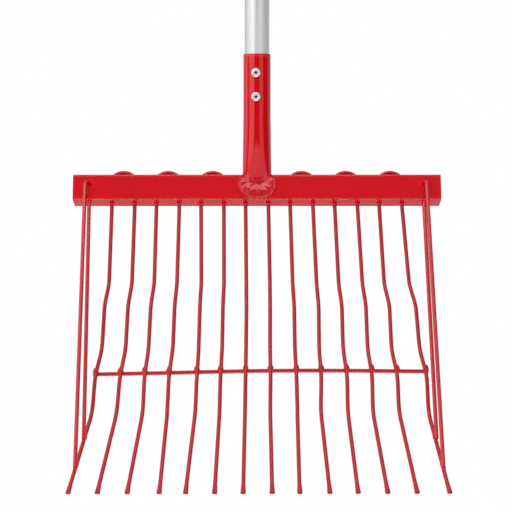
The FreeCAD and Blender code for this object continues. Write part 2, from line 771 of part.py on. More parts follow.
root_beads = []
for x, number in leg_places:
    cone = root_cone(size("root_weld_radius"))
    hole = Part.makeCylinder(wire_radius + wire_gap, 3 * size("root_weld_height"),
                             V(0, 0, size("root_weld_height")), V(0, 0, -1))
    ring = cone.cut(hole)
    ring.Placement = FreeCAD.Placement(on_bar(x, 0, -size("bar_height") / 2 - wire_gap), BAR_TURN)
    root_beads.append(ring)
for side in (-1, 1):
    wire, weld_points, crossing, direction = side_wires[side]
    cone = root_cone(size("side_root_radius"))
    cone.Placement = FreeCAD.Placement(crossing - BAR_UP * wire_gap, BAR_TURN)
    hole = Part.makeCylinder(wire_radius + wire_gap, 6 * size("root_weld_height"),
                             crossing - direction * 3 * size("root_weld_height"), direction)
    root_beads.append(cone.cut(hole))
roots = doc.addObject("Part::Feature", "tine_root_welds")
roots.Shape = Part.makeCompound(root_beads)
keep(roots, "tine_root_welds")

def bead(length, foot, middle, top):
    """A long bead about +Z from 0 to its length, given its radius at three heights."""
    outline = [
        Part.LineSegment(V(0, 0, 0), V(foot, 0, 0)).toShape(),
        Part.Arc(V(foot, 0, 0), V(middle, 0, length / 2), V(top, 0, length)).toShape(),
        Part.LineSegment(V(top, 0, length), V(0, 0, length)).toShape(),
        Part.LineSegment(V(0, 0, length), V(0, 0, 0)).toShape(),
    ]
    return Part.Face(Part.Wire(outline)).revolve(V(0, 0, 0), V(0, 0, 1), 360)


# On the rod: a bead that climbs the back of each tine from the rod.
climb_away = V(0, math.sin(rod_lean), math.cos(rod_lean))
climb_turn = FreeCAD.Rotation(V(0, 0, 1), climb_away)
rod_beads = []
for x, number in leg_places:
    place = tine_point(x, crook_forward, crook_drop)
    contact = V(place.x, crook.y, crook.z) + behind * (wire_radius + wire_gap)
    blob = bead(size("rod_weld_length"), size("rod_weld_foot"), size("rod_weld_middle"), size("rod_weld_top"))
    blob.Placement = FreeCAD.Placement(contact - climb_away * size("rod_weld_below"), climb_turn)
    rod_beads.append(blob.cut([tine_pairs[number].Shape, rod.Shape]))
rod_welds = doc.addObject("Part::Feature", "cross_rod_welds")
rod_welds.Shape = Part.makeCompound(rod_beads)
keep(rod_welds, "cross_rod_welds")

side_beads = []
for side in (-1, 1):
    wire, seams, crossing, direction = side_wires[side]
    carrier = tine_pairs[0] if side < 0 else tine_pairs[-1]
    for seam, along in seams:
        blob = bead(size("side_weld_length"), size("side_weld_end"), size("side_weld_radius"), size("side_weld_end"))
        foot = seam + along * size("side_weld_past")
        blob.Placement = FreeCAD.Placement(foot, FreeCAD.Rotation(V(0, 0, 1), -along))
        side_beads.append(blob.cut([wire.Shape, carrier.Shape]))
side_welds = doc.addObject("Part::Feature", "side_wire_welds")
side_welds.Shape = Part.makeCompound(side_beads)
keep(side_welds, "side_wire_welds")

# Export.
doc.recompute()
for obj in doc.Objects:
    if "Invalid" in obj.State or "Error" in obj.State:
        raise RuntimeError("object failed: " + obj.Name)
for obj in nodes:
    if obj.Shape.isNull() or not obj.Shape.isValid():
        raise RuntimeError("bad shape: " + obj.Label)
    if obj.Shape.Volume <= 0 or not obj.Shape.Solids:
        raise RuntimeError("no solid: " + obj.Label)

os.makedirs("parts", exist_ok=True)
for obj in nodes:
    obj.Shape.exportStep("parts/%s.step" % obj.Label)
print("nodes", len(nodes), "solids", sum(len(obj.Shape.Solids) for obj in nodes))
for obj in nodes:
    box = obj.Shape.BoundBox
    print("%-18s solids %2d volume %9.1f  x %.1f %.1f  y %.1f %.1f  z %.1f %.1f" % (
        obj.Label, len(obj.Shape.Solids), obj.Shape.Volume,
        box.XMin, box.XMax, box.YMin, box.YMax, box.ZMin, box.ZMax))
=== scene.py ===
"""Shavings fork, dressed for the render: red powder coat, satin aluminium."""
import bpy
import bmesh
import json
import math
import numpy as np
from mathutils import Matrix, Vector, noise as field


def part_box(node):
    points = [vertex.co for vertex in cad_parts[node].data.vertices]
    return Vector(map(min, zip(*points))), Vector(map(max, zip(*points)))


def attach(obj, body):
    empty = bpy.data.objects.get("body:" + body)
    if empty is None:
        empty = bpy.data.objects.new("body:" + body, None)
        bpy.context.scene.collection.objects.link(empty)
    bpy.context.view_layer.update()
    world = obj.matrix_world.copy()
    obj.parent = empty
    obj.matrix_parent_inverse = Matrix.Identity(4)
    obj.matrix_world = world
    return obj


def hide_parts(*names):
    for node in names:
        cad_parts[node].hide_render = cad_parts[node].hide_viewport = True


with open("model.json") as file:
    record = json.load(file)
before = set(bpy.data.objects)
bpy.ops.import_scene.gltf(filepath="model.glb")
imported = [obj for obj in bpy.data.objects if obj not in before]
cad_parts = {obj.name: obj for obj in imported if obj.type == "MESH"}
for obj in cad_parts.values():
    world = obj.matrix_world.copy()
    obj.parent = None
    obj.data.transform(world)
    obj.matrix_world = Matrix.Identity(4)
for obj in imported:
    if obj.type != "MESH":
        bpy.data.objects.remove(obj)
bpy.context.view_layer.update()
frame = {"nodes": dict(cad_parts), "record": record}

MM = 0.001
FULL_TURN = 2 * math.pi


def middle(node):
    """The middle of a node's box."""
    low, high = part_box(node)
    return (low + high) / 2


def smooth(low, high, values):
    """0 below low and 1 above high, with an even S between; values may be an array."""
    part = np.clip((values - low) / (high - low), 0.0, 1.0)
    return part * part * (3 - 2 * part)


# The crossbar's own axes: x across, y to its back, z to its top.
BAR_CENTRE = middle("crossbar")
BAR_TILT = math.radians(18.0)
BAR_HALF = 15.0  # half the width of the square tube, in mm
TO_BAR = Matrix.Rotation(BAR_TILT, 4, "X") @ Matrix.Translation(-BAR_CENTRE)
FROM_BAR = TO_BAR.inverted()


# Materials.
def new_material(name):
    """A new material, its node tree and its Principled shader."""
    material = bpy.data.materials.new(name)
    material.use_nodes = True
    tree = material.node_tree
    return material, tree, tree.nodes["Principled BSDF"]


def add(tree, kind, **settings):
    node = tree.nodes.new(kind)
    for key, value in settings.items():
        setattr(node, key, value)
    return node


def noise(tree, scale, detail=2.0, roughness=0.5, stretch=(1, 1, 1)):
    """Noise in the object's own metres, finer along an axis with a larger stretch."""
    place = add(tree, "ShaderNodeTexCoord")
    mapping = add(tree, "ShaderNodeMapping")
    mapping.inputs["Scale"].default_value = stretch
    node = add(tree, "ShaderNodeTexNoise")
    node.inputs["Scale"].default_value = scale
    node.inputs["Detail"].default_value = detail
    node.inputs["Roughness"].default_value = roughness
    tree.links.new(place.outputs["Object"], mapping.inputs["Vector"])
    tree.links.new(mapping.outputs["Vector"], node.inputs["Vector"])
    return node.outputs["Fac"]


def ramp(tree, source, *stops):
    """A colour ramp through (position, colour) stops; a colour may be one grey number."""
    node = add(tree, "ShaderNodeValToRGB")
    elements = node.color_ramp.elements
    while len(elements) < len(stops):
        elements.new(0.5)
    for element, (position, colour) in zip(elements, stops):
        element.position = position
        element.color = (*(colour if isinstance(colour, tuple) else (colour,) * 3), 1)
    tree.links.new(source, node.inputs["Fac"])
    return node.outputs["Color"]


def vary(tree, shader, socket, source, *stops):
    """Drives one of the shader's sockets by a source through a ramp."""
    tree.links.new(ramp(tree, source, *stops), shader.inputs[socket])


def bump(tree, shader, *layers):
    """Bump layers of (height, strength, distance), the finest last."""
    below = None
    for height, strength, distance in layers:
        node = add(tree, "ShaderNodeBump")
        node.inputs["Strength"].default_value = strength
        node.inputs["Distance"].default_value = distance
        tree.links.new(height, node.inputs["Height"])
        if below:
            tree.links.new(below.outputs["Normal"], node.inputs["Normal"])
        below = node
    tree.links.new(below.outputs["Normal"], shader.inputs["Normal"])


COAT_GREEN, COAT_BLUE, COAT_IOR = 0.0018, 0.0098, 1.48
COAT_DEPTHS = ((0.25, 0.93), (0.45, 1.0), (0.68, 1.04))  # position in the drift, share of the red


def powder_coat(name, red, peel, pitting, roughness, ior=COAT_IOR):
    """Glossy powder coat: slow drift of depth, orange peel and a few fine pits."""
    material, tree, shader = new_material(name)
    tones = [(position, (red * share, COAT_GREEN * share, COAT_BLUE * share))
             for position, share in COAT_DEPTHS]
    vary(tree, shader, "Base Color", noise(tree, scale=16.0, detail=3.0), *tones)
    vary(tree, shader, "Roughness", noise(tree, scale=70.0, detail=3.0),
         (0.3, roughness * 0.8), (0.7, roughness * 1.25))
    shader.inputs["IOR"].default_value = ior
    skin = noise(tree, scale=380.0)
    pits = ramp(tree, noise(tree, scale=1100.0, detail=1.0), (0.24, 0.0), (0.30, 1.0))
    bump(tree, shader, (skin, peel, 0.0004), (pits, pitting, 0.0001))
    return material


def drawn_aluminium(name):
    """Satin drawn tube: fine draw lines along the handle and faint handling marks."""
    material, tree, shader = new_material(name)
    lines = noise(tree, scale=1.0, detail=3.0, stretch=(900.0, 900.0, 5.0))
    marks = noise(tree, scale=22.0, detail=4.0, roughness=0.6, stretch=(1.0, 1.0, 0.35))
    vary(tree, shader, "Base Color", lines, (0.3, (0.62, 0.63, 0.65)), (0.7, (0.71, 0.72, 0.735)))
    vary(tree, shader, "Roughness", marks, (0.35, 0.45), (0.7, 0.53))
    shader.inputs["Metallic"].default_value = 1.0
    bump(tree, shader, (lines, 0.05, 0.0002))
    return material


def rivet_metal(name):
    """Bright turned aluminium with a fine grain."""
    material, tree, shader = new_material(name)
    grain = noise(tree, scale=900.0)
    vary(tree, shader, "Base Color", grain, (0.3, (0.70, 0.70, 0.71)), (0.7, (0.84, 0.84, 0.845)))
    vary(tree, shader, "Roughness", noise(tree, scale=300.0), (0.3, 0.22), (0.7, 0.32))
    shader.inputs["Metallic"].default_value = 1.0
    bump(tree, shader, (grain, 0.06, 0.0002))
    return material


def shade_dark_steel(name):
    """The rivet's mandrel stub: dull steel grain, coloured near black as painted shade of the deep
    hole it sits in.
    """
    material, tree, shader = new_material(name)
    grain = noise(tree, scale=1500.0)
    vary(tree, shader, "Base Color", grain,
         (0.3, (0.010, 0.010, 0.014)), (0.7, (0.024, 0.024, 0.030)))
    vary(tree, shader, "Roughness", grain, (0.3, 0.55), (0.7, 0.75))
    bump(tree, shader, (grain, 0.2, 0.0002))
    return material


def vinyl(name):
    """Matt black vinyl with a fine grain."""
    material, tree, shader = new_material(name)
    grain = noise(tree, scale=700.0, detail=3.0)
    vary(tree, shader, "Base Color", noise(tree, scale=40.0, detail=3.0),
         (0.3, (0.016, 0.016, 0.017)), (0.7, (0.030, 0.030, 0.031)))
    vary(tree, shader, "Roughness", grain, (0.3, 0.50), (0.7, 0.64))
    bump(tree, shader, (grain, 0.15, 0.0003))
    return material


LOOKS = {
    "red_steel": powder_coat("red_steel_coat", red=0.70, peel=0.03, pitting=0.10, roughness=0.06),
    "red_wire": powder_coat("red_wire_coat", red=0.48, peel=0.008, pitting=0.03, roughness=0.12),
    "red_weld": powder_coat("red_weld_coat", red=0.66, peel=0.05, pitting=0.10, roughness=0.08),
    "bare_aluminium": drawn_aluminium("satin_aluminium"),
    "rivet_metal": rivet_metal("rivet_aluminium"),
    "black_vinyl": vinyl("black_vinyl_grip"),
}
# The side wires' coat is a brighter copy of the wire coat, red 0.58 against 0.48 with a higher IOR:
# painted light and painted highlight for the extra light the outermost wires catch.
SIDE_LIT_LOOK = powder_coat("side_wire_lit_coat", red=0.58, peel=0.008, pitting=0.03, roughness=0.12,
                        ior=1.62)
# The mandrel's near-black tone is painted shade of the rivet's hole.
MANDREL_SHADE_LOOK = shade_dark_steel("mandrel_shade_steel")
# Every carried-over CAD node gets the look of its slot.
for part in frame["record"]["subparts"]:
    item = frame["nodes"][part["node"]]
    if not item.data.materials:
        item.data.materials.append(None)
    for slot in item.material_slots:
        slot.material = LOOKS[part["material_slot"]]


# Tools for the pieces.
def piece(name, mesh, slot_name, *nodes, look=None):
    """A finished mesh as a piece, which stands for these CAD nodes."""
    item = bpy.data.objects.new(name, mesh)
    bpy.context.scene.collection.objects.link(item)
    mesh.materials.clear()
    mesh.materials.append(look or LOOKS[slot_name])
    for face in mesh.polygons:
        face.use_smooth = True
    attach(item, "root")
    if nodes:
        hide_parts(*nodes)
    return item


def node_copy(node):
    return frame["nodes"][node].data.copy()


SOFTEN_FACTOR, SOFTEN_PASSES = 0.5, 3


def poured(node, voxel):
    """The node's form as one even skin of small faces, ready to be worked."""
    start = bpy.data.objects.new("start", node_copy(node))
    bpy.context.scene.collection.objects.link(start)
    skin = start.modifiers.new("skin", "REMESH")
    skin.mode = "VOXEL"
    skin.voxel_size = voxel * MM
    soften = start.modifiers.new("soften", "SMOOTH")
    soften.factor = SOFTEN_FACTOR
    soften.iterations = SOFTEN_PASSES
    graph = bpy.context.evaluated_depsgraph_get()
    mesh = bpy.data.meshes.new_from_object(start.evaluated_get(graph))
    bpy.data.objects.remove(start)
    return mesh


LUMP_SCALE, FINE_LUMP_SCALE, FINE_LUMP_SHARE = 420.0, 2.7, 0.4


def lumped(mesh, amount):
    """Moves each point along its normal by a wandering height of about this many mm."""
    places = [(TO_BAR @ vertex.co) * LUMP_SCALE for vertex in mesh.vertices]
    normals = [vertex.normal.copy() for vertex in mesh.vertices]
    for vertex, normal, place in zip(mesh.vertices, normals, places):
        wander = field.noise(place) + FINE_LUMP_SHARE * field.noise(place * FINE_LUMP_SCALE)
        vertex.co += normal * (amount * MM * wander)
    mesh.update()
    return mesh


def join_rings(work, rings, closed=False):
    """Faces from ring to ring; a ring may also be one point on the axis."""
    steps = max(len(ring) for ring in rings)
    for one, two in zip(rings, rings[1:] + rings[:1] if closed else rings[1:]):
        for k in range(steps):
            after = (k + 1) % steps
            corners = (one[k % len(one)], one[after % len(one)],
                       two[after % len(two)], two[k % len(two)])
            work.faces.new(list(dict.fromkeys(corners)))


def finished(name, work, matrix=Matrix()):
    """The work as a mesh with all its faces turned outwards."""
    bmesh.ops.recalc_face_normals(work, faces=work.faces)
    work.transform(matrix)
    mesh = bpy.data.meshes.new(name)
    work.to_mesh(mesh)
    work.free()
    return mesh


def turned(name, outline, steps, matrix, slot_name, *nodes, look=None):
    """A closed outline of (radius, height) in mm turned about its axis, its ends on the axis."""
    work = bmesh.new()
    rings = []
    for radius, height in outline:
        turns = [FULL_TURN * k / steps for k in range(steps if radius else 1)]
        rings.append([work.verts.new((radius * MM * math.cos(turn), radius * MM * math.sin(turn),
                                      height * MM)) for turn in turns])
    join_rings(work, rings)
    return piece(name, finished(name, work, matrix), slot_name, *nodes, look=look)


# The small bends of this fork's own wires: how far each tine, left to right, stands to the right
# of the regular fan, in mm, at these depths below the socket's mouth.
BEND_DEPTHS = (173.5, 259.0, 285.0, 325.0, 354.0, 390.0, 428.0, 460.0)
BENDS = (
    (0.0, 3.3, 3.1, 3.8, 3.9, 3.3, 2.2, 0.2),
    (0.0, 2.3, 2.0, 2.3, 2.5, 1.3, 0.3, -0.5),
    (0.0, 1.9, 1.3, 1.3, 2.0, 2.0, 1.6, 0.9),
    (0.0, 0.8, 0.7, 0.6, 0.2, -0.2, 1.4, 3.0),
    (0.0, 2.7, 2.9, 2.8, 3.6, 2.9, 1.8, 0.9),
    (0.0, 1.5, 1.3, 1.2, 0.9, 0.5, 0.2, -0.1),
    (0.0, 1.2, 1.6, 1.3, 1.2, 0.7, 0.5, 0.0),
    (0.0, 1.0, 0.7, 0.3, 0.1, -0.6, -0.7, -0.9),
    (0.0, 1.1, 1.6, 1.4, 1.2, 1.5, 0.0, -1.8),
    (0.0, 1.3, 1.6, 0.7, -0.1, -1.7, -1.7, -1.6),
    (0.0, 0.7, 1.5, 0.8, 0.9, 0.2, -0.6, -1.8),
    (0.0, 0.7, 1.1, 0.4, -0.2, -1.3, -1.7, -2.1),
    (0.0, -0.2, 1.4, 0.5, 0.3, -0.3, -0.4, -1.1),
    (0.0, 1.2, 3.6, 3.9, 3.9, 3.0, 1.8, 1.8),
)
PAIRS, PAIR_PITCH, LEG_HALF = 7, 50.8, 13.0
LEG_PLACES = [(pair - PAIRS // 2) * PAIR_PITCH + half
              for pair in range(PAIRS) for half in (-LEG_HALF, LEG_HALF)]
# The tines fan out from a line this far behind their start, which is 6.2 mm in front of the
# bar's middle.
FAN_DISTANCE, FAN_START = 945.0, 6.2


def bent(mesh):
    """Moves a mesh sideways with the tine nearest to each of its points."""
    for vertex in mesh.vertices:
        x, y, z = vertex.co / MM
        regular = x / (1 + (BAR_CENTRE.y / MM - y - FAN_START) / FAN_DISTANCE)
        leg = min(range(len(LEG_PLACES)), key=lambda k: abs(regular - LEG_PLACES[k]))
        vertex.co.x += float(np.interp(-z, BEND_DEPTHS, BENDS[leg])) * MM
    mesh.update()
    return mesh


# The right side wire's own set, in mm to the right, at its hook, at its turn inside the bar, at
# the foot of its long leg and at the foot of its short leg.
HOOK_SET, TURN_SET, LONG_FOOT_SET, SHORT_FOOT_SET = -2.4, -1.3, -0.3, 0.6
TURN_AHEAD, HOOK_AHEAD = 2.0, 20.0  # in front of the bar's middle
BELOW_BAR, BETWEEN_FEET = -200.0, -425.0  # heights that tell the wire's ends apart


def set_right(mesh):
    """Moves the right side wire sideways by its own set, part by part."""
    for vertex in mesh.vertices:
        height = vertex.co.z / MM
        if height > BELOW_BAR:
            ahead = -(TO_BAR @ vertex.co).y / MM
            shift = TURN_SET + (HOOK_SET - TURN_SET) * smooth(TURN_AHEAD, HOOK_AHEAD, ahead)
        else:
            shift = LONG_FOOT_SET if height < BETWEEN_FEET else SHORT_FOOT_SET
        vertex.co.x += shift * MM
    mesh.update()


for node in ["tine_pair_%d" % pair for pair in range(1, PAIRS + 1)]:
    piece(node + "_bent", bent(node_copy(node)), "red_wire", node)
left_wire, right_wire = bent(node_copy("left_side_wire")), bent(node_copy("right_side_wire"))
set_right(right_wire)
# The side wires wear the brighter copy of the wire coat: painted light.
piece("left_side_wire_bent", left_wire, "red_wire", "left_side_wire", look=SIDE_LIT_LOOK)
piece("right_side_wire_bent", right_wire, "red_wire", "right_side_wire", look=SIDE_LIT_LOOK)

# The rod's set to the right, and its bow: how far it stands above its level place, in mm, at
# these places across. A raised or sunk part also moves back or forward with the tines' slope.
ROD_SHIFT = 3.7
RISE_PLACES = (-185.0, -159.0, -105.0, -51.0, 3.0, 57.0, 111.0, 167.0, 190.0)
RISES = (-1.95, -1.42, -0.48, 0.68, 1.65, 1.95, 1.71, 1.13, 0.9)
SLOPE_ABOVE, SLOPE_BELOW = 0.9, 0.45


def raised(mesh):
    """Lifts a mesh with the rod's bow, and keeps it behind the slope of the tines."""
    for vertex in mesh.vertices:
        rise = float(np.interp(vertex.co.x / MM, RISE_PLACES, RISES))
        vertex.co.z += rise * MM
        vertex.co.y += rise * (SLOPE_ABOVE if rise > 0 else SLOPE_BELOW) * MM
    mesh.update()


# The socket's weld, in mm across (x) and up (z) from the middle of the bar's front face: a dome
# over the face, held down at the socket's foot.
LOBE_WIDE, LOBE_HIGH, LOBE_UP, LOBE_THICK = 22.0, 18.0, 2.4, 4.3
LOBE_FULLNESS, LOBE_SHOULDER, LOBE_WANDER = 2.4, 0.6, 0.6
FOOT_SLOPE, FOOT_LIFT, FOOT_SINK, FOOT_SINK_SPAN = 0.325, 0.45, 0.9, (5, 10)
FLANK_FALL, FLANK_AT, FLANK_POWER, FLANK_EXTRA, FLANK_SPAN = 2.4, 15.0, 2.3, 1.2, (9, 15)
SKIRT_WIDE, SKIRT_TOP, SKIRT_HIGH, SKIRT_SLOPE = 16.4, 17.0, 14.0, 8.5
# Creases between the runs of the bead: points, half width, depth.
CREASES = (
    (((-6.8, -9.9), (-4.6, -6.6), (-2.4, -5.0)), 1.0, 1.5),
    (((2.6, -4.8), (4.4, -7.2), (6.4, -10.6)), 1.0, 1.5),
    (((-13.3, -1.4), (-11.2, -4.2), (-8.9, -3.2)), 0.9, 1.3),
    (((9.9, -0.8), (12.7, -3.0), (15.0, -1.9)), 0.9, 1.3),
    (((-15.4, -3.4), (-11.4, -8.2)), 0.7, 0.8),
    (((10.6, -8.8), (14.9, -4.2)), 0.8, 1.0),
    (((-7.4, 0.4), (-5.1, 2.4), (-2.2, 3.4)), 0.7, 0.9),
    (((1.4, 3.2), (4.0, 2.7)), 0.7, 0.7),
    (((-19.0, 4.6), (-17.4, 0.4)), 0.7, 0.6),
    (((17.0, 6.4), (18.6, 2.0), (17.6, -2.6)), 0.9, 1.1),
)
CREASE_SPREAD, CREASE_EDGE = 1.3, (0.90, 0.97)
# The lobe's lower edge: a small toe with a groove inside it, as height, place and width.
TOE, TOE_GROOVE, TOE_TOP, TOE_FADE = (0.40, 0.965, 0.022), (0.55, 0.90, 0.028), 9.0, 2.0
WELD_WANDER, WELD_FINE = 0.14, 0.05


def to_run(x, z, points):
    """Distances from places to a run of straight pieces."""
    nearest = np.full(x.shape, 1e9)
    for (x0, z0), (x1, z1) in zip(points, points[1:]):
        dx, dz = x1 - x0, z1 - z0
        share = np.clip(((x - x0) * dx + (z - z0) * dz) / (dx * dx + dz * dz), 0.0, 1.0)
        nearest = np.minimum(nearest, np.hypot(x - x0 - share * dx, z - z0 - share * dz))
    return nearest


def ridge(values, high, place, width):
    """A rounded ridge of this height and width at a place."""
    return high * np.exp(-((values - place) / width) ** 2)


def weld_height(x, z, wander, fine):
    """How far the weld stands over the bar's front face, in mm."""
    rim = np.hypot((x + LOBE_WANDER * wander) / LOBE_WIDE, (z - LOBE_UP) / LOBE_HIGH)
    dome = LOBE_THICK * np.maximum(0.0, 1 - rim ** LOBE_FULLNESS) ** LOBE_SHOULDER
    lift = FOOT_LIFT - FOOT_SINK * smooth(*FOOT_SINK_SPAN, z)
    flank = FLANK_FALL * (np.abs(x) / FLANK_AT) ** FLANK_POWER
    foot = FOOT_SLOPE * z + lift - flank * (1 + FLANK_EXTRA * smooth(*FLANK_SPAN, z))
    skirt = np.hypot(x / SKIRT_WIDE, np.minimum(z - SKIRT_TOP, 0.0) / SKIRT_HIGH)
    height = np.minimum(dome, foot + SKIRT_SLOPE * np.maximum(skirt - 1.0, 0.0))
    within = 1 - smooth(*CREASE_EDGE, rim)
    for points, half, deep in CREASES:
        gap = np.minimum(to_run(x, z, points) / (CREASE_SPREAD * half), 1.0)
        height -= deep * (1 - gap ** 2) ** 2 * within
    low = smooth(-TOE_FADE, TOE_FADE, TOE_TOP - z)
    height += low * (ridge(rim, *TOE) - ridge(rim, *TOE_GROOVE))
    return height + WELD_WANDER * wander + WELD_FINE * fine


WANDER_FIELD, FINE_FIELD = (0.16, 3.0), (0.75, 9.0)  # scale, place in the noise
FACING_SPAN, FACE_TOP_SPAN, FACE_SKIN = (0.15, 0.45), (14.0, 16.0), 0.2
SEAM_SETTLE, BACK_WANDER = 0.55, 0.2


def pour_weld(mesh):
    """Gives the weld's front its runs and creases, and settles the seam on the bar's top."""
    count = len(mesh.vertices)
    places, normals = np.empty(count * 3), np.empty(count * 3)
    mesh.vertices.foreach_get("co", places)
    mesh.vertices.foreach_get("normal", normals)
    to_bar, from_bar = np.array(TO_BAR), np.array(FROM_BAR)
    places = (places.reshape(-1, 3) @ to_bar[:3, :3].T + to_bar[:3, 3]) / MM
    normals = normals.reshape(-1, 3) @ to_bar[:3, :3].T
    x, y, z = places.T.copy()
    wander, fine = (
        np.array([field.noise(Vector((a * scale, b * scale, depth))) for a, b in zip(x, z)])
        for scale, depth in (WANDER_FIELD, FINE_FIELD))
    front = smooth(*FACING_SPAN, -normals[:, 1]) * (1 - smooth(*FACE_TOP_SPAN, z))
    front *= smooth(BAR_HALF - FACE_SKIN, BAR_HALF, -y)
    y += front * (-BAR_HALF - weld_height(x, z, wander, fine) - y)
    z = np.where(z > BAR_HALF, BAR_HALF + (z - BAR_HALF) * SEAM_SETTLE, z)
    places = np.stack([x, y, z], 1) + normals * (BACK_WANDER * wander * (1 - front))[:, None]
    places = (places * MM) @ from_bar[:3, :3].T + from_bar[:3, 3]
    mesh.vertices.foreach_set("co", places.ravel())
    mesh.update()
    return mesh


SOCKET_WELD_VOXEL, BEAD_VOXEL = 0.36, 0.35
piece("socket_weld_bead", pour_weld(poured("socket_weld", SOCKET_WELD_VOXEL)),
      "red_weld", "socket_weld")
for node, amount in (("tine_root_welds", 0.30), ("cross_rod_welds", 0.35),
                     ("side_wire_welds", 0.30)):
    beads = lumped(bent(poured(node, BEAD_VOXEL)), amount)
    if node == "cross_rod_welds":
        raised(beads)
    piece(node[:-1] + "_beads", beads, "red_weld", node)

# Cross rod: straight stations between two small bevels, then bowed.
rod_low, rod_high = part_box("cross_rod")
ROD_RADIUS = (rod_high.z - rod_low.z) / 2 / MM
ROD_HALF = (rod_high.x - rod_low.x) / 2 / MM
ROD_BEVEL, ROD_STATIONS, ROD_STEPS = 0.3, 60, 32
ROD_STRAIGHT = ROD_HALF - ROD_BEVEL
rod_outline = [(0.0, -ROD_HALF), (ROD_RADIUS - ROD_BEVEL, -ROD_HALF)]
rod_outline += [(ROD_RADIUS, ROD_STRAIGHT * (2 * k / ROD_STATIONS - 1))
                for k in range(ROD_STATIONS + 1)]
rod_outline += [(ROD_RADIUS - ROD_BEVEL, ROD_HALF), (0.0, ROD_HALF)]
rod_place = Matrix.Translation((rod_low + rod_high) / 2 + Vector((ROD_SHIFT * MM, 0, 0)))
rod = turned("cross_rod_set", rod_outline, ROD_STEPS,
             rod_place @ Matrix.Rotation(math.pi / 2, 4, "Y"), "red_wire", "cross_rod")
raised(rod.data)

# Socket: rolled round at its mouth, pressed flatter in front towards its foot.
SOCKET_ROUND, SOCKET_FOOT, SOCKET_WALL = -70.0, -152.8, 1.4
PRESS_START, PRESS_FULL, PRESS_SLOPE = -86.0, -126.0, math.tan(math.radians(3.0))
MOUTH_RADIUS, REAR_TUCK, FRONT_SQUARE = 15.5, 1.5, 0.5
SOCKET_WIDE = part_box("socket_tube")[1].x / MM
SOCKET_STEPS, LEVEL_STEP, LEVELS = 96, 4.0, 37
MOUTH_OUTSIDE, MOUTH_INSIDE = ((0.0, 0.45), (-0.12, 0.18), (-0.4, 0.0)), ((-0.3, 0.0), (0.0, -0.3))


def socket_loop(z, inset):
    """Points round the socket at a height, in metres, moved in from its outside by inset."""
    share = min(max((SOCKET_ROUND - z) / (SOCKET_ROUND - SOCKET_FOOT), 0.0), 1.0)
    side = MOUTH_RADIUS + (SOCKET_WIDE - MOUTH_RADIUS) * share
    rear = MOUTH_RADIUS - REAR_TUCK * share
    blend = PRESS_START - PRESS_FULL
    along = min(max(PRESS_START - z, 0.0), blend)
    pressed = PRESS_SLOPE * (0.5 * along ** 2 / blend + max(PRESS_FULL - z, 0.0))
    power = 2.0 / (2.0 + FRONT_SQUARE * smooth(-PRESS_START, -SOCKET_FOOT, -z))
    loop = []
    for k in range(SOCKET_STEPS):
        turn = FULL_TURN * k / SOCKET_STEPS
        c, s = math.cos(turn), math.sin(turn)
        deep = rear if s > 0 else MOUTH_RADIUS - pressed
        bend = power if s < 0 else 1.0
        loop.append(((side - inset) * math.copysign(abs(c) ** bend, c) * MM,
                     (deep - inset) * math.copysign(abs(s) ** bend, s) * MM, z * MM))
    return loop


levels = [-LEVEL_STEP * k for k in range(1, LEVELS + 1)]
socket_outline = [*MOUTH_OUTSIDE, *((z, 0.0) for z in levels)]
socket_outline += [(SOCKET_FOOT, 0.0), (SOCKET_FOOT, SOCKET_WALL)]
socket_outline += [(z, SOCKET_WALL) for z in reversed(levels)]
socket_outline += [(z, SOCKET_WALL + inset) for z, inset in MOUTH_INSIDE]
socket_work = bmesh.new()
socket_rings = [[socket_work.verts.new(point) for point in socket_loop(z, inset)]
                for z, inset in socket_outline]
join_rings(socket_work, socket_rings, closed=True)
piece("socket_tube_pressed", finished("socket_mesh", socket_work), "red_steel", "socket_tube")

# Blind rivets: rolled rim, groove, flat land round the mandrel's hole.
RIVET_OUTLINE = (
    (0.0, -2.6), (1.45, -2.6), (1.55, 0.7), (1.60, 1.20), (1.74, 1.42), (1.95, 1.48), (2.35, 1.44),
    (2.60, 1.28), (2.76, 0.98), (2.92, 0.90), (3.08, 1.02), (3.26, 1.38), (3.50, 1.56),
    (3.85, 1.58), (4.25, 1.46), (4.62, 1.22), (4.95, 0.86), (5.15, 0.45), (5.20, 0.20),
    (5.12, 0.02), (4.9, 0.0), (2.4, 0.0), (2.4, -3.0), (2.5, -3.1), (3.0, -3.2), (3.3, -3.7),
    (3.3, -5.4), (3.0, -6.2), (2.4, -6.7), (1.2, -6.9), (0.0, -6.9),
)
MANDREL_OUTLINE = ((0.0, 0.25), (0.5, 0.15), (1.1, 0.22), (1.48, 0.0), (1.42, -2.5), (0.0, -2.5))
RIVET_HEAD_HIGH, RIVET_STEPS, MANDREL_STEPS = 1.9, 48, 32
for node in ("upper_rivet", "lower_rivet"):
    centre = middle(node)
    seat = Vector((centre.x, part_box(node)[0].y + RIVET_HEAD_HIGH * MM, centre.z))
    facing = Matrix.Translation(seat) @ Matrix.Rotation(math.pi / 2, 4, "X")
    turned(node + "_turned", RIVET_OUTLINE, RIVET_STEPS, facing, "rivet_metal", node)
    # The mandrel stub in each rivet's hole is near black: painted shade.
    turned(node + "_mandrel", MANDREL_OUTLINE, MANDREL_STEPS, facing, "rivet_metal",
           look=MANDREL_SHADE_LOOK)

# Coat run into the side wires' entry holes: a shallow cup with a raised lip on its inner upper
# side, and a gap left open beside the wire. In mm in the bar's axes.
ENTRY_ACROSS, ENTRY_UP, ENTRY_RADIUS = 192.0, 3.6, 4.15
CUP_RINGS, CUP_STEPS, CUP_SUNK, CUP_BACK = 14, 60, 0.9, 3.6
LIP, LIP_TOWARDS, LIP_SPAN = (0.42, 0.96, 0.09), (0.8, 0.6), (-0.2, 0.7)
GAP_RUN, GAP_SPAN, GAP_DEEP = ((0.6, 1.2), (2.6, -1.3)), (0.35, 0.85), 2.4


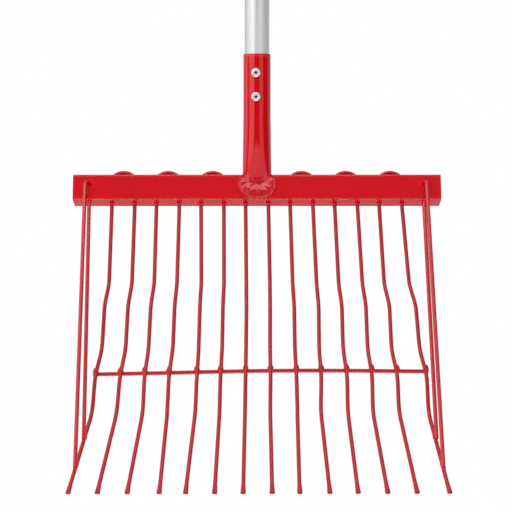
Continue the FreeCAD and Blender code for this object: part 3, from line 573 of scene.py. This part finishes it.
def cup_mesh(side):
    """The cup as a closed skin over a flat back."""
    work = bmesh.new()

    def ring(share, back=False):
        """One ring of the cup at a share of its radius, or the ring round its back."""
        points = []
        for k in range(CUP_STEPS):
            turn = FULL_TURN * k / CUP_STEPS
            c, s = math.cos(turn), math.sin(turn)
            inward, up = ENTRY_RADIUS * share * c, ENTRY_RADIUS * share * s
            lip = ridge(share, *LIP) * smooth(*LIP_SPAN, c * LIP_TOWARDS[0] + s * LIP_TOWARDS[1])
            gap = to_run(np.array([inward]), np.array([up]), GAP_RUN)[0]
            sunk = CUP_SUNK * (1 - share ** 3) - lip + GAP_DEEP * (1 - smooth(*GAP_SPAN, gap))
            place = (side * (ENTRY_ACROSS - inward), (CUP_BACK if back else sunk) - BAR_HALF,
                     ENTRY_UP + up)
            points.append(work.verts.new(FROM_BAR @ (Vector(place) * MM)))
        return points

    rings = [ring(k / CUP_RINGS) for k in range(1, CUP_RINGS + 1)] + [ring(1.0, back=True)]
    join_rings(work, rings)
    work.faces.new(rings[0])
    work.faces.new(rings[-1])
    return finished("cup_mesh", work)


for side, name in ((-1, "left_entry_coat"), (1, "right_entry_coat")):
    piece(name, cup_mesh(side), "red_steel")

# Hand grip: flared foot, ribs, domed end with its moulding dimple.
grip_low, grip_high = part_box("hand_grip")
GRIP_RADIUS = (grip_high.x - grip_low.x) / 2 / MM
GRIP_LONG = (grip_high.z - grip_low.z) / MM
GRIP_WALL, GRIP_END, GRIP_BEVEL, GRIP_STEPS = 2.9, 4.2, 0.3, 72
RIB_START, RIB_PITCH, RIB_COUNT, RIB_DEEP, RIB_LONG = 9.0, 6.0, 16, 0.9, 0.8
# One rib's outline: share of its length, share of its depth.
RIB = ((0.0, 0.9), (0.15, 0.45), (0.28, 0.08), (0.42, 0.0), (0.58, 0.0), (0.72, 0.08), (0.85, 0.45))
NECK_BELOW_END, NECK_SINK = 10.5, 0.6
DOME_RADIUS, DOME_IN, DOME_STEPS = 5.6, 6.0, 10
# Foot: depth in from the grip's radius, height. Dimple: radius, depth below the grip's end.
GRIP_FOOT = ((0.8, 0.0), (0.2, 0.25), (0.0, 0.9), (0.0, 4.6), (0.3, 5.4), (0.9, 5.9))
DIMPLE = ((3.2, 0.0), (2.6, 0.2), (2.0, 0.9), (0.0, 1.1))
bore = GRIP_RADIUS - GRIP_WALL
grip_outline = [(0.0, GRIP_LONG - GRIP_END), (bore, GRIP_LONG - GRIP_END), (bore, GRIP_BEVEL),
                (bore + GRIP_BEVEL, 0.0)]
grip_outline += [(GRIP_RADIUS - depth, height) for depth, height in GRIP_FOOT]
grip_outline += [(GRIP_RADIUS - sink * RIB_DEEP,
                  RIB_START + rib * RIB_PITCH + share * RIB_PITCH * RIB_LONG)
                 for rib in range(RIB_COUNT) for share, sink in RIB]
grip_outline.append((GRIP_RADIUS - RIB_DEEP, RIB_START + RIB_COUNT * RIB_PITCH))
grip_outline.append((GRIP_RADIUS - NECK_SINK, GRIP_LONG - NECK_BELOW_END))
for k in range(DOME_STEPS + 1):
    swing = math.radians(90.0 * k / DOME_STEPS)
    grip_outline.append((GRIP_RADIUS - DOME_IN + DOME_RADIUS * math.cos(swing),
                         GRIP_LONG - DOME_RADIUS + DOME_RADIUS * math.sin(swing)))
grip_outline += [(radius, GRIP_LONG - depth) for radius, depth in DIMPLE]
turned("hand_grip_ribbed", grip_outline, GRIP_STEPS, Matrix.Translation((0, 0, grip_low.z)),
       "black_vinyl", "hand_grip")


# Studio: a pale floor well below the tines, a dim room in front, a white backdrop behind.
def math_node(tree, operation, first, second):
    """The operation on two inputs, each a number or another node's output."""
    node = add(tree, "ShaderNodeMath", operation=operation)
    for index, value in enumerate((first, second)):
        if isinstance(value, (int, float)):
            node.inputs[index].default_value = value
        else:
            tree.links.new(value, node.inputs[index])
    return node.outputs["Value"]


def seen_white(tree, behind):
    """Camera rays everywhere, glossy and transmitted rays as far as behind says."""
    path = add(tree, "ShaderNodeLightPath")
    mirrored = math_node(tree, "ADD", path.outputs["Is Glossy Ray"],
                         path.outputs["Is Transmission Ray"])
    return math_node(tree, "ADD", path.outputs["Is Camera Ray"],
                     math_node(tree, "MULTIPLY", mirrored, behind))


FLOOR_DROP, FLOOR_RADIUS, FLOOR_SIDES = 0.45, 18.8, 96
FLOOR_GREY, FLOOR_ROUGHNESS, FLOOR_SHEEN = 0.52, 0.9, 0.1
FLOOR_NEAR, FLOOR_FAR = 1.1, 1.7  # metres across the floor: shaded within, white beyond
floor_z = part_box("tine_pair_4")[0].z - FLOOR_DROP
floor_mesh = bpy.data.meshes.new("floor_mesh")
floor_edge = [(FLOOR_RADIUS * math.cos(FULL_TURN * k / FLOOR_SIDES),
               FLOOR_RADIUS * math.sin(FULL_TURN * k / FLOOR_SIDES), floor_z)
              for k in range(FLOOR_SIDES)]
floor_mesh.from_pydata([(0, 0, floor_z)] + floor_edge, [],
                       [(0, k + 1, (k + 1) % FLOOR_SIDES + 1) for k in range(FLOOR_SIDES)])
floor = bpy.data.objects.new("floor", floor_mesh)
bpy.context.scene.collection.objects.link(floor)
floor_look, tree, shader = new_material("pale_floor")
shader.inputs["Base Color"].default_value = (FLOOR_GREY, FLOOR_GREY, FLOOR_GREY, 1)
shader.inputs["Roughness"].default_value = FLOOR_ROUGHNESS
shader.inputs["Specular IOR Level"].default_value = FLOOR_SHEEN
reach = add(tree, "ShaderNodeVectorMath", operation="LENGTH")
tree.links.new(add(tree, "ShaderNodeTexCoord").outputs["Object"], reach.inputs[0])
away = add(tree, "ShaderNodeMapRange", interpolation_type="SMOOTHSTEP")
away.inputs["From Min"].default_value = math.hypot(FLOOR_NEAR, floor_z)
away.inputs["From Max"].default_value = math.hypot(FLOOR_FAR, floor_z)
tree.links.new(reach.outputs["Value"], away.inputs["Value"])
white = add(tree, "ShaderNodeEmission")
blend = add(tree, "ShaderNodeMixShader")
tree.links.new(math_node(tree, "MULTIPLY", away.outputs["Result"], seen_white(tree, behind=1.0)),
               blend.inputs["Fac"])
tree.links.new(shader.outputs["BSDF"], blend.inputs[1])
tree.links.new(white.outputs["Emission"], blend.inputs[2])
tree.links.new(blend.outputs["Shader"], tree.nodes["Material Output"].inputs["Surface"])
floor_mesh.materials.append(floor_look)

REAR_GREY = 0.50
world = bpy.data.worlds.new("studio")
bpy.context.scene.world = world
world.use_nodes = True
tree = world.node_tree
tree.nodes.clear()
out = add(tree, "ShaderNodeOutputWorld")
room = add(tree, "ShaderNodeBackground")
backdrop = add(tree, "ShaderNodeBackground")
backdrop.inputs["Color"].default_value = (1, 1, 1, 1)
split = add(tree, "ShaderNodeSeparateXYZ")
tree.links.new(add(tree, "ShaderNodeTexCoord").outputs["Generated"], split.inputs["Vector"])
# In front: dark at eye level, a paler band above it, dim overhead. Behind: an even grey.
above = ramp(tree, split.outputs["Z"], (0.06, 0.03), (0.16, 0.45), (0.40, 0.45), (0.54, 0.25))
rear = ramp(tree, split.outputs["Y"], (0.0, 0.0), (0.35, 1.0))
tone = add(tree, "ShaderNodeMixRGB")
tone.inputs["Color2"].default_value = (REAR_GREY, REAR_GREY, REAR_GREY, 1)
tree.links.new(rear, tone.inputs["Fac"])
tree.links.new(above, tone.inputs["Color1"])
tree.links.new(tone.outputs["Color"], room.inputs["Color"])
behind = ramp(tree, split.outputs["Y"], (0.2, 0.0), (0.7, 0.20))
mix = add(tree, "ShaderNodeMixShader")
tree.links.new(seen_white(tree, behind), mix.inputs["Fac"])
tree.links.new(room.outputs["Background"], mix.inputs[1])
tree.links.new(backdrop.outputs["Background"], mix.inputs[2])
tree.links.new(mix.outputs["Shader"], out.inputs["Surface"])

# Soft boxes: azimuth to the right and rise above the level of the crossbar, in degrees as the
# object sees them, then distance, width and height in metres, and brightness.
LAMP_COLOUR = (1.0, 0.985, 0.945)
SOFT_BOXES = (
    ("left_box", -46, 25, 2.0, 1.70, 2.0, 1.65),
    ("right_box", 36, 25, 2.0, 1.25, 2.0, 0.90),
    ("left_wall", -96, 25, 1.9, 1.2, 1.8, 0.85),
    ("top_box", -10, 58, 1.8, 0.9, 0.45, 3.4),
    ("overhead", -6, 86, 1.7, 1.9, 1.3, 1.10),
    ("low_box", -6, -74, 0.70, 1.1, 0.45, 3.0),
)
for name, azimuth, rise, distance, width, height, brightness in SOFT_BOXES:
    lamp = bpy.data.lights.new(name, "AREA")
    lamp.shape = "RECTANGLE"
    lamp.size, lamp.size_y = width, height
    lamp.energy = brightness * math.pi * width * height
    lamp.color = LAMP_COLOUR
    item = bpy.data.objects.new(name, lamp)
    turn, lift = math.radians(azimuth), math.radians(rise)
    outward = Vector((math.sin(turn) * math.cos(lift), -math.cos(turn) * math.cos(lift),
                      math.sin(lift)))
    item.location = BAR_CENTRE + outward * distance
    item.rotation_euler = (-outward).to_track_quat("-Z", "Y").to_euler()
    item.visible_camera = False
    bpy.context.scene.collection.objects.link(item)

# Camera: in front of the head, slightly above the crossbar and looking a little down.
CAMERA_PLACE = (-0.0126, -2.040, -0.0965)
PITCH, YAW = math.radians(3.747), math.radians(0.322)
SENSOR_WIDTH, FOCAL_PIXELS, FRAME_PIXELS = 36, 1784.3, 512
camera_data = bpy.data.cameras.new("camera")
camera_data.sensor_width = SENSOR_WIDTH
camera_data.lens = SENSOR_WIDTH * FOCAL_PIXELS / FRAME_PIXELS
camera = bpy.data.objects.new("camera", camera_data)
camera.location = CAMERA_PLACE
camera.rotation_euler = (math.pi / 2 - PITCH, 0, -YAW)
bpy.context.scene.collection.objects.link(camera)
bpy.context.scene.camera = camera

bpy.context.scene.view_settings.view_transform = "Standard"
